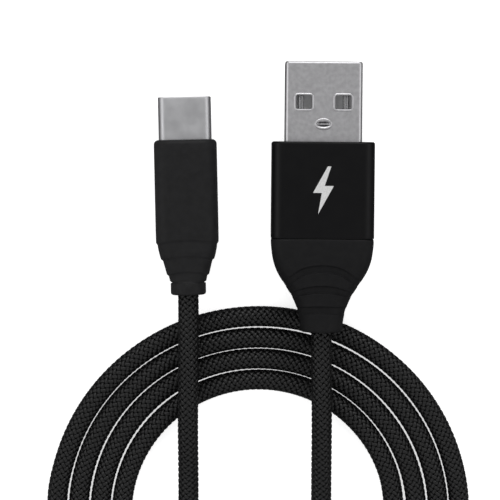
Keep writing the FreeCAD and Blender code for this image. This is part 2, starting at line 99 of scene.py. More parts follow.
from_plug_a = [
    plug_a @ Vector((0, -A_CABLE_END, 0)),
    plug_a @ Vector((0, -A_RELIEF_BACK - 1.0, 0)),
    on_coil(10.0, 16.7, OVER + 0.3),
    on_coil(10.0, 3.4, CORD_R),
    on_coil(10.1, -9.3, 2.7),
    on_coil(10.0, -22.0, OVER - 0.1),
    on_coil(2.0, -33.1, OVER + 0.1),
    on_coil(-11.0, -37.3, OVER + 0.15),
    on_coil(-24.0, -33.1, OVER + 0.1),
    on_coil(-31.9, -22.0, 4.3),
    on_coil(-32.1, -10.0, CORD_R),
    on_coil(-32.0, -0.8, CORD_R),
]
from_plug_c = [
    plug_c @ Vector((0, -C_CABLE_END, 0)),
    plug_c @ Vector((0, -C_COLLAR_BACK - 1.0, 0)),
    on_coil(-11.0, 25.2, OVER + 0.5),
    on_coil(-11.1, 15.5, OVER + 0.3),
    on_coil(-11.1, 4.5, CORD_R),
    on_coil(-11.2, -7.4, CORD_R + 0.05),
    on_coil(-11.1, -20.6, CORD_R),
    on_coil(-4.9, -29.2, CORD_R),
    on_coil(5.3, -32.5, CORD_R),
    on_coil(15.5, -29.2, CORD_R),
    on_coil(21.7, -20.6, CORD_R),
    on_coil(21.8, -11.2, CORD_R),
]


def half_turn(centre_y, start, end, radius, inwards):
    """Control points of a half circle from one angle to the other, which shrinks by inwards on its way."""
    points = []
    step = (end - start) / ARC_POINTS
    outside = 1 / math.cos(math.radians(step / 2))
    for i in range(ARC_POINTS):
        share = (i + 0.5) / ARC_POINTS
        angle = math.radians(start + (i + 0.5) * step)
        sway = TURN_SWAY * math.sin(5.1 * radius + 2.3 * angle)
        reach = (radius - inwards * share + sway) * outside
        points.append(on_coil(reach * math.cos(angle), centre_y + reach * math.sin(angle), CORD_R))
    return points


coil_points = []
for turn in range(TURNS):
    radius = OUTER_TURN_R - turn * TURN_PITCH
    coil_points += half_turn(0, 180, 0, radius, 0)
    if turn < TURNS - 1:
        coil_points += [on_coil(radius, -share * COIL_SIDE, CORD_R) for share in (0.25, 0.75)]
        coil_points += half_turn(-COIL_SIDE, 0, -180, radius, TURN_PITCH)
        coil_points += [on_coil(TURN_PITCH - radius, -share * COIL_SIDE, CORD_R) for share in (0.75, 0.25)]



def placed(name, data):
    """A new object of the scene that holds a mesh, curve, lamp or camera."""
    thing = bpy.data.objects.new(name, data)
    bpy.context.scene.collection.objects.link(thing)
    return thing


route = bpy.data.curves.new("cord_route", "CURVE")
route.dimensions = "3D"
spline = route.splines.new("NURBS")
control_points = from_plug_a + coil_points + from_plug_c[::-1]
spline.points.add(len(control_points) - 1)
for place, point in zip(spline.points, control_points):
    place.co = (*point, 1)
spline.order_u = 3
spline.use_endpoint_u = True
spline.resolution_u = 16
route_object = placed("cord_route", route)
depsgraph = bpy.context.evaluated_depsgraph_get()
line_mesh = bpy.data.meshes.new_from_object(route_object.evaluated_get(depsgraph))
line = np.array([vertex.co[:] for vertex in line_mesh.vertices]) / MM
bpy.data.objects.remove(route_object)

line_steps = np.linalg.norm(np.diff(line, axis=0), axis=1)
line_at = np.concatenate(([0.0], np.cumsum(line_steps)))
cord_length = line_at[-1]


def cord_frames(at):
    """Positions on the cord's line, and its side and top directions there, for lengths along it."""
    at = np.clip(at, 0, cord_length)
    spots = np.stack([np.interp(at, line_at, line[:, i]) for i in range(3)], axis=-1)
    slopes = np.gradient(line, line_at, axis=0)
    ahead = np.stack([np.interp(at, line_at, slopes[:, i]) for i in range(3)], axis=-1)
    ahead /= np.linalg.norm(ahead, axis=-1, keepdims=True)
    side = np.cross(ahead, (0.0, 0.0, 1.0))
    side /= np.linalg.norm(side, axis=-1, keepdims=True)
    return spots, side, np.cross(side, ahead)


# ---------------------------------------------------------------------------------------------------------
# The cord's jacket: soft black plastic over the screen and the four conductors. It only shows as the dark
# ground between the yarns, and it is pressed into the crimp ring of each plug.
JACKET_R = 1.34
JACKET_SIDES = 12


def mesh_piece(name, points, faces, place=None):
    """A smooth-shaded object whose mesh is given in millimetres, in the frame of place."""
    mesh = bpy.data.meshes.new(name)
    mesh.from_pydata([tuple(point) for point in points], [], faces)
    mesh.transform(place if place is not None else Matrix.Scale(MM, 4))
    mesh.shade_smooth()
    return placed(name, mesh)


def skin_faces(rows, around, ends):
    """Quads over a grid of rows by around points. ends is capped or joined."""
    faces = []
    for row in range(rows if ends == "joined" else rows - 1):
        after = (row + 1) % rows
        for i in range(around):
            j = (i + 1) % around
            faces.append((row * around + i, row * around + j, after * around + j, after * around + i))
    if ends == "capped":
        faces.append(tuple(reversed(range(around))))
        faces.append(tuple(range((rows - 1) * around, rows * around)))
    return faces


def face_outwards(piece):
    """Turns the faces of a closed piece outwards."""
    solid = bmesh.new()
    solid.from_mesh(piece.data)
    bmesh.ops.recalc_face_normals(solid, faces=solid.faces)
    solid.to_mesh(piece.data)
    solid.free()
    return piece


def new_material(name, color, roughness, metallic=0.0, specular=0.5):
    """A material with a Principled BSDF. The colour is linear."""
    material = bpy.data.materials.new(name)
    material.use_nodes = True
    surface = material.node_tree.nodes["Principled BSDF"]
    surface.inputs["Base Color"].default_value = (*color, 1)
    surface.inputs["Roughness"].default_value = roughness
    surface.inputs["Metallic"].default_value = metallic
    surface.inputs["Specular IOR Level"].default_value = specular
    return material, surface


def add_node(material, kind, **values):
    """A node of a material, with its inputs set by name."""
    node = material.node_tree.nodes.new(kind)
    for name, value in values.items():
        node.inputs[name.replace("_", " ")].default_value = value
    return node


def object_noise(material, scale, detail=4.0, stretch=(1, 1, 1), turn=(0, 0, 0)):
    """Noise on Object coordinates. scale is in features a millimetre."""
    spot = material.node_tree.nodes.new("ShaderNodeTexCoord")
    mapping = add_node(material, "ShaderNodeMapping", Scale=stretch, Rotation=turn)
    noise = add_node(material, "ShaderNodeTexNoise", Scale=scale / MM, Detail=detail)
    material.node_tree.links.new(spot.outputs["Object"], mapping.inputs["Vector"])
    material.node_tree.links.new(mapping.outputs["Vector"], noise.inputs["Vector"])
    return noise


def spread(material, source, socket, low, high, start=0.3, end=0.7):
    """Drives a number socket from a noise between two values."""
    fit = add_node(material, "ShaderNodeMapRange", From_Min=start, From_Max=end, To_Min=low, To_Max=high)
    material.node_tree.links.new(source.outputs[0], fit.inputs["Value"])
    material.node_tree.links.new(fit.outputs["Result"], socket)


def tint(material, source, surface, dark, light, start=0.35, end=0.65):
    """Mixes the base colour between two linear colours by a noise."""
    ramp = material.node_tree.nodes.new("ShaderNodeValToRGB")
    ramp.color_ramp.elements[0].position = start
    ramp.color_ramp.elements[0].color = (*dark, 1)
    ramp.color_ramp.elements[1].position = end
    ramp.color_ramp.elements[1].color = (*light, 1)
    material.node_tree.links.new(source.outputs[0], ramp.inputs["Fac"])
    material.node_tree.links.new(ramp.outputs["Color"], surface.inputs["Base Color"])


def emboss(material, source, surface, strength, depth, before=None):
    """Adds a bump of depth millimetres from a texture, on top of an earlier one."""
    bump = add_node(material, "ShaderNodeBump", Strength=strength, Distance=depth * MM)
    material.node_tree.links.new(source.outputs[0], bump.inputs["Height"])
    if before is not None:
        material.node_tree.links.new(before.outputs["Normal"], bump.inputs["Normal"])
    material.node_tree.links.new(bump.outputs["Normal"], surface.inputs["Normal"])
    return bump


jacket_at = np.linspace(0, cord_length, len(line))
spots, sides, tops = cord_frames(jacket_at)
turns_round = np.linspace(0, 2 * math.pi, JACKET_SIDES, endpoint=False)
jacket_points = (
    spots[:, None, :]
    + JACKET_R * np.cos(turns_round)[None, :, None] * sides[:, None, :]
    + JACKET_R * np.sin(turns_round)[None, :, None] * tops[:, None, :]
)
jacket_faces = skin_faces(len(line), JACKET_SIDES, "capped")
jacket = face_outwards(mesh_piece("cord_jacket", jacket_points.reshape(-1, 3), jacket_faces))
jacket_plastic, surface = new_material("jacket_plastic", (0.0015, 0.0015, 0.0015), 0.6, specular=0.2)
emboss(jacket_plastic, object_noise(jacket_plastic, 6.0), surface, 0.3, 0.03)
jacket.data.materials.append(jacket_plastic)

# ---------------------------------------------------------------------------------------------------------
# The braided sleeve: sixteen flat nylon yarns, eight each way round, each over one and under one of the
# others. Each yarn is a flat bundle of fine filaments. The braid turns slowly with the cord.
YARNS_EACH_WAY = 8
BRAID_LAY = 7.6  # length of one turn of a yarn
YARN_WIDTH = 0.63
OVER_R = 1.54  # edge of a yarn where it lies over the others
UNDER_R = 1.35
YARN_CROWN = 0.105
YARN_BELLY = 0.03
FLOAT_STEPS = 2  # rows of points on each over, and on each under
FLOAT_HOLD = 1.4  # above 1, so that a yarn stays level for a while at the top and the bottom
ROLL_LENGTH = 240.0  # length in which the braid turns once with the cord
YARNS_A_PIECE = 4
YARN_MAP_SHIFT = 7.3  # keeps the filaments of neighbours from looking alike
braid_mid_r = (OVER_R + UNDER_R) / 2
lay_angle = math.atan2(2 * math.pi * braid_mid_r, BRAID_LAY)
# across a yarn: share of the half width, and share of the crown
yarn_belly = (0.0, -YARN_BELLY / YARN_CROWN)
yarn_profile = np.array([(-1.0, 0.0), (-0.45, 0.8), (0.45, 0.8), (1.0, 0.0), yarn_belly])


def yarn(index, way):
    """The points of one yarn, the number of its rows and their spacing. way is 1 or -1."""
    step = BRAID_LAY / (2 * YARNS_EACH_WAY) / FLOAT_STEPS
    centre_at = np.arange(step / 2, cord_length, step)
    start = 2 * math.pi * index / YARNS_EACH_WAY
    across = yarn_profile[None, :, 0] * YARN_WIDTH / 2
    at = centre_at[:, None] - way * across * math.sin(lay_angle)
    angle = start + way * 2 * math.pi * centre_at[:, None] / BRAID_LAY
    over = np.clip(FLOAT_HOLD * way * np.cos(YARNS_EACH_WAY * angle), -1, 1)
    radius = braid_mid_r + over * (OVER_R - UNDER_R) / 2 + yarn_profile[None, :, 1] * YARN_CROWN
    angle = angle + across * math.cos(lay_angle) / braid_mid_r + 2 * math.pi * at / ROLL_LENGTH
    spots, sides, tops = cord_frames(at)
    outwards = np.cos(angle)[..., None] * sides + np.sin(angle)[..., None] * tops
    points = spots + radius[..., None] * outwards
    return points.reshape(-1, 3), len(centre_at), step


def braid_piece(name, members):
    """Several yarns as one piece, with a UV map along and across each yarn."""
    around = len(yarn_profile)
    all_points, all_faces, along, across = [], [], [], []
    for index, way in members:
        points, rows, step = yarn(index, way)
        shift = sum(len(p) for p in all_points)
        all_faces += [tuple(shift + i for i in face) for face in skin_faces(rows, around, "capped")]
        all_points.append(points)
        along.append(np.repeat(np.arange(rows) * step, around) + YARN_MAP_SHIFT * index)
        across.append(np.tile(0.5 + yarn_profile[:, 0] / 2, rows))
    piece = mesh_piece(name, np.concatenate(all_points), all_faces)
    loops = np.empty(len(piece.data.loops), dtype=np.int32)
    piece.data.loops.foreach_get("vertex_index", loops)
    uv = np.stack((np.concatenate(along)[loops], np.concatenate(across)[loops]), axis=-1)
    layer = piece.data.uv_layers.new(name="yarn")
    layer.data.foreach_set("uv", uv.astype(np.float32).ravel())
    return face_outwards(piece)


nylon, surface = new_material("braided_nylon", (0.0024, 0.0024, 0.0026), 0.34, specular=0.43)
surface.inputs["Sheen Weight"].default_value = 0.01
surface.inputs["Sheen Roughness"].default_value = 0.4
yarn_map = nylon.node_tree.nodes.new("ShaderNodeUVMap")
yarn_map.uv_map = "yarn"
ends = add_node(nylon, "ShaderNodeMapping", Scale=(0.35, 5.0, 1.0))
filaments = add_node(nylon, "ShaderNodeTexNoise", Scale=6.0, Detail=5.0, Roughness=0.65)
nylon.node_tree.links.new(yarn_map.outputs["UV"], ends.inputs["Vector"])
nylon.node_tree.links.new(ends.outputs["Vector"], filaments.inputs["Vector"])
emboss(nylon, filaments, surface, 0.55, 0.05)
spread(nylon, filaments, surface.inputs["Roughness"], 0.24, 0.42)
tint(nylon, filaments, surface, (0.0008, 0.0008, 0.001), (0.0034, 0.0034, 0.0038))

braid = []
for way, word in ((1, "right"), (-1, "left")):
    for first in range(0, YARNS_EACH_WAY, YARNS_A_PIECE):
        members = [(index, way) for index in range(first, first + YARNS_A_PIECE)]
        piece = braid_piece(f"braid_{word}_{first // YARNS_A_PIECE + 1}", members)
        piece.data.materials.append(nylon)
        braid.append(piece)

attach(jacket, "cable")
for piece in braid:
    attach(piece, "cable")
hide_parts("cord_type_a_end", "cord_type_c_end", "cord_coil")

# ---------------------------------------------------------------------------------------------------------
# Type A shell: a flat steel blank folded into a tube and nickel plated, with its dovetailed seam
# underneath. The windows and the front edge have rounded rims, and a tab is lanced in the locking slot.
A_SHELL = (12.0, 4.5, 0.65)
A_SHELL_WALL = 0.3
A_SHELL_IN = 6.4
A_WINDOW = (2.5, 2.15, 0.32)  # width, length, corner radius
A_WINDOW_X = 3.05
A_WINDOW_Y = 6.1
A_LOCK_SLOT = (2.0, 0.66)
A_LOCK_SLOT_Y = 2.72
WINDOW_ROUND = 0.12  # the holes have drawn rims of these radii, and the blank is cut wider for them
SLOT_ROUND = 0.37
RIM = 0.13
SEAM = 0.012
FOLD_CUTS = 6
WELD = 1e-4
quarter_ways = ((1, 1), (-1, 1), (-1, -1), (1, -1))
MOUTH_CURL = (0.42, 0.2)  # the front edge is curled inwards over this length by this much
MOUTH_CUTS = 5
CROSS_CUT = 0.9  # the blank is cut across at this spacing, so that no long slivers are folded


def fold_length(width, thick, radius):
    """The length of the blank round the tube."""
    return 2 * (width - 2 * radius) + 2 * (thick - 2 * radius) + 2 * math.pi * radius


def fold(along, lift, width, thick, radius):
    """Where a point of the blank comes to lie, and which way is outwards there. Both are x and z.
    along runs from the middle of the underside, lift outwards."""
    half_flat, side_flat = width / 2 - radius, thick - 2 * radius
    flats = (half_flat, side_flat, width - 2 * radius, side_flat, half_flat)
    corners = ((1, -1), (1, 1), (-1, 1), (-1, -1))
    arc = math.pi / 2 * radius
    ways = ((1, 0), (0, 1), (-1, 0), (0, -1), (1, 0))
    x, z = 0.0, -thick / 2
    for i, (flat, (way_x, way_z)) in enumerate(zip(flats, ways)):
        if along <= flat or i == len(ways) - 1:
            return x + way_x * along + way_z * lift, z + way_z * along - way_x * lift, way_z, -way_x
        along -= flat
        side, up = corners[i]
        centre_x = side * (width / 2 - radius)
        centre_z = up * (thick / 2 - radius)
        start = -math.pi / 2 + i * math.pi / 2
        if along <= arc:
            out_x, out_z = math.cos(start + along / radius), math.sin(start + along / radius)
            return centre_x + (radius + lift) * out_x, centre_z + (radius + lift) * out_z, out_x, out_z
        along -= arc
        x = centre_x + radius * math.cos(start + math.pi / 2)
        z = centre_z + radius * math.sin(start + math.pi / 2)


def rounded_hole(x, y, width, length, radius):
    """The outline of a hole with round corners."""
    points = []
    for quarter, (side, up) in enumerate(quarter_ways):
        for step in range(7):
            angle = math.pi / 2 * (quarter + step / 6)
            hole_x = x + side * (width / 2 - radius) + radius * math.cos(angle)
            points.append((hole_x, y + up * (length / 2 - radius) + radius * math.sin(angle)))
    return points


def sheet_metal(name, outlines, thick, rim):
    """A flat sheet with the first outline as its edge and the others as holes, with rounded rims."""
    drawing = bpy.data.curves.new(name, "CURVE")
    drawing.dimensions = "2D"
    drawing.fill_mode = "BOTH"
    drawing.extrude = thick / 2 - rim
    drawing.bevel_depth = rim
    drawing.bevel_resolution = 2
    drawing.offset = -rim
    for outline in outlines:
        edge = drawing.splines.new("POLY")
        edge.points.add(len(outline) - 1)
        for place, (x, y) in zip(edge.points, outline):
            place.co = (x, y, 0, 1)
        edge.use_cyclic_u = True
    holder = placed(name, drawing)
    evaluated = holder.evaluated_get(bpy.context.evaluated_depsgraph_get())
    mesh = bpy.data.meshes.new_from_object(evaluated)
    bpy.data.objects.remove(holder)
    solid = bmesh.new()
    solid.from_mesh(mesh)
    bmesh.ops.remove_doubles(solid, verts=solid.verts, dist=WELD)
    bpy.data.meshes.remove(mesh)
    return solid


blank_width = fold_length(*A_SHELL)
top_middle = blank_width / 2
seam_steps = [(-A_SHELL_IN, 0.0), (7.6, 0.0), (7.3, 0.9), (9.3, 0.9), (9.0, 0.0), (A_REACH, 0.0)]
near_edge = [(tab + SEAM, y) for y, tab in seam_steps]
far_edge = [(blank_width + tab - SEAM, y) for y, tab in reversed(seam_steps)]
outlines = [near_edge + far_edge]
window_cut = [size + share * WINDOW_ROUND for size, share in zip(A_WINDOW, (2, 2, 1))]
slot_cut = (A_LOCK_SLOT[0] + SLOT_ROUND, A_LOCK_SLOT[1] + 1.6 * SLOT_ROUND, 0.6)
for window_x in (-A_WINDOW_X, A_WINDOW_X):
    outlines.append(rounded_hole(top_middle - window_x, A_WINDOW_Y, *window_cut))
    outlines.append(rounded_hole(window_x % blank_width, A_WINDOW_Y, *window_cut))
outlines.append(rounded_hole(top_middle, A_LOCK_SLOT_Y, *slot_cut))
blank = sheet_metal("type_a_shell_blank", outlines, A_SHELL_WALL, RIM)
width, thick, radius = A_SHELL
fold_arc = math.pi / 2 * radius
fold_start = 0.0
for flat in (width / 2 - radius, thick - 2 * radius, width - 2 * radius, thick - 2 * radius):
    fold_start += flat
    for cut in range(FOLD_CUTS + 1):
        where = fold_start + fold_arc * cut / FOLD_CUTS
        parts = blank.verts[:] + blank.edges[:] + blank.faces[:]
        bmesh.ops.bisect_plane(blank, geom=parts, plane_co=(where, 0, 0), plane_no=(1, 0, 0))
    fold_start += fold_arc
curl_length, curl_drop = MOUTH_CURL
cross_cuts = [A_REACH - curl_length * (1 - cut / MOUTH_CUTS) for cut in range(MOUTH_CUTS)]
cross_cuts += list(np.arange(-A_SHELL_IN + CROSS_CUT, A_REACH - curl_length - CROSS_CUT / 2, CROSS_CUT))
for where in cross_cuts:
    parts = blank.verts[:] + blank.edges[:] + blank.faces[:]
    bmesh.ops.bisect_plane(blank, geom=parts, plane_co=(0, where, 0), plane_no=(0, 1, 0))
bmesh.ops.recalc_face_normals(blank, faces=blank.faces)
blank.normal_update()
shell_normals = []
for vertex in blank.verts:
    flats = [face.normal for face in vertex.link_faces if abs(face.normal.z) > 0.999]
    normal = flats[0].copy() if flats else vertex.normal.copy()
    curl = min(max((vertex.co.y - A_REACH) / curl_length + 1, 0), 1)
    lift = vertex.co.z - A_SHELL_WALL / 2 - curl_drop * (1 - math.sqrt(1 - curl**2))
    slope_curl = min(curl, 0.97)
    normal.y += normal.z * curl_drop * slope_curl / math.sqrt(1 - slope_curl**2) / curl_length
    x, z, out_x, out_z = fold(vertex.co.x, lift, *A_SHELL)
    turned = (normal.z * out_x - normal.x * out_z, normal.y, normal.z * out_z + normal.x * out_x)
    shell_normals.append((plug_a.to_3x3() @ Vector(turned)).normalized())
    vertex.co = (x, vertex.co.y, z)
bmesh.ops.reverse_faces(blank, faces=blank.faces)  # the fold mirrors the blank
shell_mesh = bpy.data.meshes.new("type_a_shell_steel")
blank.to_mesh(shell_mesh)
blank.free()
shell_mesh.transform(plug_a)
shell_mesh.shade_smooth()
shell_mesh.normals_split_custom_set_from_vertices(shell_normals)
shell_a = placed("type_a_shell_steel", shell_mesh)


def even_shading(piece):
    """Keeps flat faces flat next to small rounded edges."""
    weighted = piece.modifiers.new("even_shading", "WEIGHTED_NORMAL")
    weighted.mode = "FACE_AREA"
    weighted.weight = 50
    weighted.keep_sharp = True
    mesh = bpy.data.meshes.new_from_object(piece.evaluated_get(bpy.context.evaluated_depsgraph_get()))
    piece.modifiers.remove(weighted)
    piece.data = mesh
    return piece


plated_steel, surface = new_material("plated_steel", (0.6, 0.6, 0.61), 0.34, 1.0)
mottle = object_noise(plated_steel, 1.7, 8.0)
scuffs = object_noise(plated_steel, 1.6, 3.0, (1.0, 0.12, 1.0))
spread(plated_steel, mottle, surface.inputs["Roughness"], 0.3, 0.38)
tint(plated_steel, mottle, surface, (0.56, 0.555, 0.57), (0.635, 0.63, 0.645))
fine = emboss(plated_steel, object_noise(plated_steel, 9.0, 2.0), surface, 0.05, 0.004)
emboss(plated_steel, scuffs, surface, 0.04, 0.004, fine)
shell_a.data.materials.append(plated_steel)

# the drawn rims of the windows and the locking slot, and the lanced tab across the slot: a strip of the
# same steel that dips inwards
RIM_DEPTH = 0.3
RIM_WALL = 0.1
RIM_FLANGE = 0.22
RIM_PROUD = 0.005
SLOT_STEPS = 48
SLOT_SIDE_SHARE = 0.65  # the slot's rim is wider along the plug than across it
TAB = (2.3, 0.2, 0.14)
TAB_DIP = 0.22
TAB_ROWS = 16
TAB_SIDES = 10


def window_outline(x, outset):
    """The outline of a window, and of the lines round it at a distance outset."""
    sizes = [size + share * outset for size, share in zip(A_WINDOW, (2, 2, 1))]
    return rounded_hole(x, A_WINDOW_Y, *sizes)


def slot_outline(x, outset):
    """The oval of the locking slot, and of the lines round it at a distance outset."""
    outline = []
    for step in range(SLOT_STEPS):
        angle = 2 * math.pi * step / SLOT_STEPS
        across = (A_LOCK_SLOT[0] / 2 + SLOT_SIDE_SHARE * outset) * math.cos(angle)
        outline.append((x + across, A_LOCK_SLOT_Y + (A_LOCK_SLOT[1] / 2 + outset) * math.sin(angle)))
    return outline


def drawn_rim(name, outline_at, x, rounding, face):
    """The rim of a hole in the upper or lower face, rolled inwards with the given radius."""
    profile = [(rounding + RIM_FLANGE, -0.06), (rounding + RIM_FLANGE, 0.003), (rounding, RIM_PROUD)]
    for step in range(1, 8):
        angle = math.pi / 2 * step / 7
        profile.append((rounding * (1 - math.sin(angle)), RIM_PROUD - rounding * (1 - math.cos(angle))))
    profile += [(0.0, -rounding - RIM_DEPTH), (RIM_WALL, -rounding - RIM_DEPTH), (RIM_WALL, -0.3)]
    points = []
    for outset, rise in profile:
        points += [(point_x, y, face * (A_SHELL[1] / 2 + rise)) for point_x, y in outline_at(x, outset)]
    around = len(points) // len(profile)
    return mesh_piece(name, points, skin_faces(len(profile), around, "joined"), plug_a)


shell_extras = [drawn_rim("type_a_slot_rim", slot_outline, 0.0, SLOT_ROUND, 1)]
for face, word in ((1, "upper"), (-1, "lower")):
    for side, hand in ((-1, "left"), (1, "right")):
        rim_name = f"type_a_window_rim_{word}_{hand}"
        shell_extras.append(drawn_rim(rim_name, window_outline, side * A_WINDOW_X, WINDOW_ROUND, face))
tab_points = []
for row in range(TAB_ROWS + 1):
    share = row / TAB_ROWS
    middle_z = A_SHELL[1] / 2 - 0.2 - TAB_DIP * math.sin(math.pi * share)
    for i in range(TAB_SIDES):
        angle = 2 * math.pi * i / TAB_SIDES
        y = A_LOCK_SLOT_Y + TAB[1] / 2 * math.cos(angle)
        tab_points.append(((share - 0.5) * TAB[0], y, middle_z + TAB[2] / 2 * math.sin(angle)))
tab_faces = skin_faces(TAB_ROWS + 1, TAB_SIDES, "capped")
shell_extras.append(mesh_piece("type_a_shell_tab", tab_points, tab_faces, plug_a))
for piece in shell_extras:
    even_shading(face_outwards(piece))
    piece.data.materials.append(plated_steel)
for piece in (shell_a, *shell_extras):
    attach(piece, "cable")
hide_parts("type_a_shell")

# ---------------------------------------------------------------------------------------------------------
# Type A housing: a cup machined from aluminium, blasted fine and anodised black. It is pressed over the
# inner moulding. Its front edge is rounded, and the mark on its face is printed.
A_HOUSING = (16.0, 8.0, 1.8)
A_HOUSING_L = 15.0
A_HOUSING_WALL = 0.8
A_HOUSING_FRONT = 1.0
FRONT_ROUND = 0.32
REAR_ROUND = 0.12
HOLE_GAP = 0.06
CORNER_STEPS = 8
FLAT_STEPS = 10
rim_spots = []
for quarter, (side, up) in enumerate(quarter_ways):
    for step in range(CORNER_STEPS + 1):
        angle = math.pi / 2 * (quarter + step / CORNER_STEPS)
        rim_spots.append((side, up, math.cos(angle), math.sin(angle)))
    next_side, next_up = quarter_ways[(quarter + 1) % 4]
    for step in range(1, FLAT_STEPS):
        share = step / FLAT_STEPS
        flat_x = side + (next_side - side) * share
        flat_z = up + (next_up - up) * share
        rim_spots.append((flat_x, flat_z, math.cos(angle), math.sin(angle)))
rim_x, rim_z, rim_way_x, rim_way_z = np.array(rim_spots).T
RIM_COUNT = len(rim_spots)


def rim_points(width, thick, radius, inset=0.0):
    """x and z of the points round a rounded rectangle. The sizes may be a column, one for each row."""
    x = rim_x * (width / 2 - radius) + rim_way_x * (radius - inset)
    z = rim_z * (thick / 2 - radius) + rim_way_z * (radius - inset)
    return x, z


def lofted(name, rows, place, ends):
    """A skin over rows of y, width, thickness, corner radius and inset."""
    table = np.array(rows)[:, :, None]
    x, z = rim_points(table[:, 1], table[:, 2], table[:, 3], table[:, 4])
    y = np.broadcast_to(table[:, 0], x.shape)
    points = np.stack((x, y, z), axis=-1).reshape(-1, 3)
    return face_outwards(mesh_piece(name, points, skin_faces(len(rows), RIM_COUNT, ends), place))


housing_rows = [(-A_HOUSING_FRONT, *A_SHELL, -HOLE_GAP), (-0.12, *A_SHELL, -HOLE_GAP)]
housing_rows += [(-0.03, *A_SHELL, -HOLE_GAP - 0.03), (0.0, *A_SHELL, -HOLE_GAP - 0.12)]
for step in range(6):
    angle = math.pi / 2 * step / 5
    inset = FRONT_ROUND * (1 - math.sin(angle))
    housing_rows.append((-FRONT_ROUND * (1 - math.cos(angle)), *A_HOUSING, inset))
housing_rows += [(-0.6, *A_HOUSING, 0.0), (-A_HOUSING_L + 0.5, *A_HOUSING, 0.0)]
for step in range(4):
    angle = math.pi / 2 * step / 3
    back = A_HOUSING_L - REAR_ROUND * (1 - math.sin(angle))
    housing_rows.append((-back, *A_HOUSING, REAR_ROUND * (1 - math.cos(angle))))
housing_rows += [(-A_HOUSING_L, *A_HOUSING, A_HOUSING_WALL), (-A_HOUSING_FRONT, *A_HOUSING, A_HOUSING_WALL)]
housing = even_shading(lofted("type_a_housing_cup", housing_rows, plug_a, "joined"))
anodised, surface = new_material("black_anodised_aluminium", (0.0022, 0.0022, 0.0027), 0.36, specular=0.18)
blast = object_noise(anodised, 14.0, 2.0)
emboss(anodised, blast, surface, 0.12, 0.01)
spread(anodised, object_noise(anodised, 0.5, 5.0), surface.inputs["Roughness"], 0.31, 0.42)
tint(anodised, blast, surface, (0.0015, 0.0015, 0.0019), (0.0028, 0.0028, 0.0034))
housing.data.materials.append(anodised)
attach(housing, "cable")
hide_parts("type_a_housing")

# the mark: a plain lightning bolt, the general sign for charging, screen printed in pale grey ink
BOLT = [(0.75, 4.1), (-1.75, -0.45), (-0.25, -0.45), (-0.85, -4.1), (1.8, 0.75), (0.25, 0.75), (1.35, 4.1)]
BOLT_SIZE = 0.9
INK = 0.03
INK_SUNK = 0.012
bolt_outline = [(x * BOLT_SIZE, y * BOLT_SIZE) for x, y in BOLT]
bolt_solid = sheet_metal("charging_mark", [bolt_outline], INK, INK / 3)
bolt_mesh = bpy.data.meshes.new("charging_mark")
bmesh.ops.recalc_face_normals(bolt_solid, faces=bolt_solid.faces)
bolt_solid.to_mesh(bolt_mesh)
bolt_solid.free()
bolt_z = A_HOUSING[1] / 2 + INK / 2 - INK_SUNK
bolt_mesh.transform(plug_a @ Matrix.Translation((0, -A_HOUSING_L / 2, bolt_z)))
bolt = placed("charging_mark", bolt_mesh)
ink, surface = new_material("printed_ink", (0.7, 0.7, 0.7), 0.5)
tint(ink, object_noise(ink, 5.0, 3.0), surface, (0.62, 0.62, 0.62), (0.74, 0.74, 0.74))
bolt.data.materials.append(ink)
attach(bolt, "cable")

# ---------------------------------------------------------------------------------------------------------
# Type A strain relief: black rubber moulded over the cord. Its front plugs the housing, and it narrows to
# the cord in a long curve with three arched grooves, which let it bend evenly.
GROOVES = ((4.7, 0.074), (7.9, 0.076), (11.1, 0.05))  # distance behind the housing, and how far it arches
GROOVE_HALF = 0.55
GROOVE_EDGE = 0.1
GROOVE_DEPTH = 0.36
GROOVE_FADE = (0.6, 0.98, 0.16)  # from and to which share of the half width a groove fades, and to what
RELIEF_L = 14.6
RELIEF_STATIONS = np.array(
    [
        (0.0, 16.0, 8.0, 1.8),
        (1.5, 15.85, 7.95, 1.9),
        (3.5, 15.3, 7.8, 2.2),
        (5.2, 14.1, 7.5, 2.7),
        (6.7, 12.3, 7.2, 3.2),
        (8.2, 10.3, 6.95, 3.3),
        (9.2, 9.1, 6.8, 3.3),
        (10.2, 8.2, 6.65, 3.25),
        (11.2, 7.45, 6.55, 3.2),
        (12.6, 6.85, 6.45, 3.2),
        (14.6, 6.42, 6.4, 3.18),
    ]
)


def smooth_station(back, stations, column, blur=0.6):
    """A size from a table of stations, evened out over a short length."""
    at, sizes = stations[:, 0], stations[:, column]
    return sum(np.interp(back + shift, at, sizes) for shift in (-blur, 0, blur)) / 3


relief_marks = [0.0, 0.08, 0.25]
for groove_back, _ in GROOVES:
    for side in (-1, 1):
        for share in (-1.6, -1.0, -0.4, 0.4, 1.0, 1.6):
            relief_marks.append(groove_back + side * GROOVE_HALF + share * GROOVE_EDGE)
relief_marks += list(np.arange(0.6, RELIEF_L - 0.3, 0.3)) + [RELIEF_L - 0.35, RELIEF_L - 0.2]
relief_back = np.array(sorted(relief_marks))[:, None]
arch_backs = [0.0] + [groove_back for groove_back, _ in GROOVES] + [RELIEF_L]
arch_values = [0.0] + [arch for _, arch in GROOVES] + [0.0]
arch = np.interp(relief_back, arch_backs, arch_values)
groove = np.zeros_like(relief_back)
for groove_back, _ in GROOVES:
    away = np.abs(relief_back - groove_back)
    groove += np.clip((GROOVE_HALF + GROOVE_EDGE - away) / (2 * GROOVE_EDGE), 0, 1)
groove = groove * groove * (3 - 2 * groove) * GROOVE_DEPTH
edge_round = np.interp(relief_back, (0.0, 0.08, 0.25), (0.2, 0.06, 0.0))
edge_round += np.interp(relief_back, (RELIEF_L - 0.35, RELIEF_L - 0.2), (0.0, 0.05))


def relief_rim(back, inset):
    """x and z of the points round the relief."""
    sizes = [smooth_station(back, RELIEF_STATIONS, column) for column in (1, 2, 3)]
    return rim_points(*sizes, inset)


